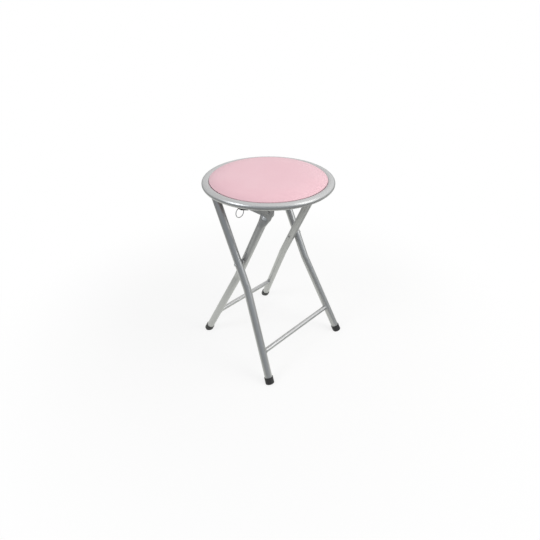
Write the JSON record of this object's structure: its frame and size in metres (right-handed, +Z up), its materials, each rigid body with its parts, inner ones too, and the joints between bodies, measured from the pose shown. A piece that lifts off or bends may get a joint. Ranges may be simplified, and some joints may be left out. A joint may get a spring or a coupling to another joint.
{
  "type": "folding stool",
  "caption": "Folding stool with a round padded seat in a tube ring, crossed tube legs with black foot caps, and a sprung catch with a pull ring under the seat.",
  "frame": {"origin": "on the floor, below the middle of the seat", "axes": "+Z up; +X the way the outer legs' feet point; Y along the folding axis, with the catch on the -Y side"},
  "size_m": [0.3, 0.3, 0.4688],
  "materials": {
    "silver_paint": "satin metallic paint",
    "pad_cover": "soft vinyl, fine grain",
    "pad_foam": "open foam",
    "pad_board": "raw plywood",
    "foot_cap": "matt",
    "zinc": "zinc plated",
    "catch_black": "black, satin",
    "wire": "bright wire"
  },
  "bodies": {
    "outer_frame": {"outer_leg_near": "silver_paint", "outer_leg_far": "silver_paint", "outer_foot_near": "foot_cap", "outer_foot_far": "foot_cap", "pivot_rivet_near": "zinc", "pivot_rivet_far": "zinc", "pivot_spacer_near": "zinc", "pivot_spacer_far": "zinc", "outer_crossbar": "silver_paint", "rest_bar": "silver_paint"},
    "inner_frame": {"inner_leg_near": "silver_paint", "inner_leg_far": "silver_paint", "inner_foot_near": "foot_cap", "inner_foot_far": "foot_cap", "inner_crossbar": "silver_paint"},
    "seat": {"seat_ring": "silver_paint", "seat_board": "pad_board", "seat_foam": "pad_foam", "seat_cover": "pad_cover", "board_screws": "zinc", "seat_rail_near": "silver_paint", "seat_rail_far": "silver_paint", "seat_rivet_near": "zinc", "seat_rivet_far": "zinc", "catch_guides": "zinc", "catch_spring": "zinc"},
    "catch": {"catch_plate": "catch_black"},
    "pull_ring": {"pull_ring": "wire"}
  },
  "joints": [
    {"name": "leg_fold", "type": "hinge", "parent": "outer_frame", "child": "inner_frame", "pos_m": [0.0028, 0, 0.2755], "axis": [0, -1, 0], "range_deg": [0, 43]},
    {"name": "seat_fold", "type": "hinge", "parent": "inner_frame", "child": "seat", "pos_m": [0.07427, 0, 0.424], "axis": [0, 1, 0], "range_deg": [0, 112]},
    {"name": "catch_slide", "type": "slide", "parent": "seat", "child": "catch", "axis": [1, 0, 0], "range_m": [0, 0.012], "stiffness_N_per_m": 300, "springref_m": -0.015, "deforming": ["catch_spring"]},
    {"name": "ring_swing", "type": "hinge", "parent": "catch", "child": "pull_ring", "pos_m": [-0.0145, -0.07718, 0.4032], "axis": [0, 1, 0], "range_deg": [-60, 60]}
  ],
  "couplings": [
    {"joint": "seat_fold", "follows": "leg_fold", "ratio": 2.6}
  ]
}
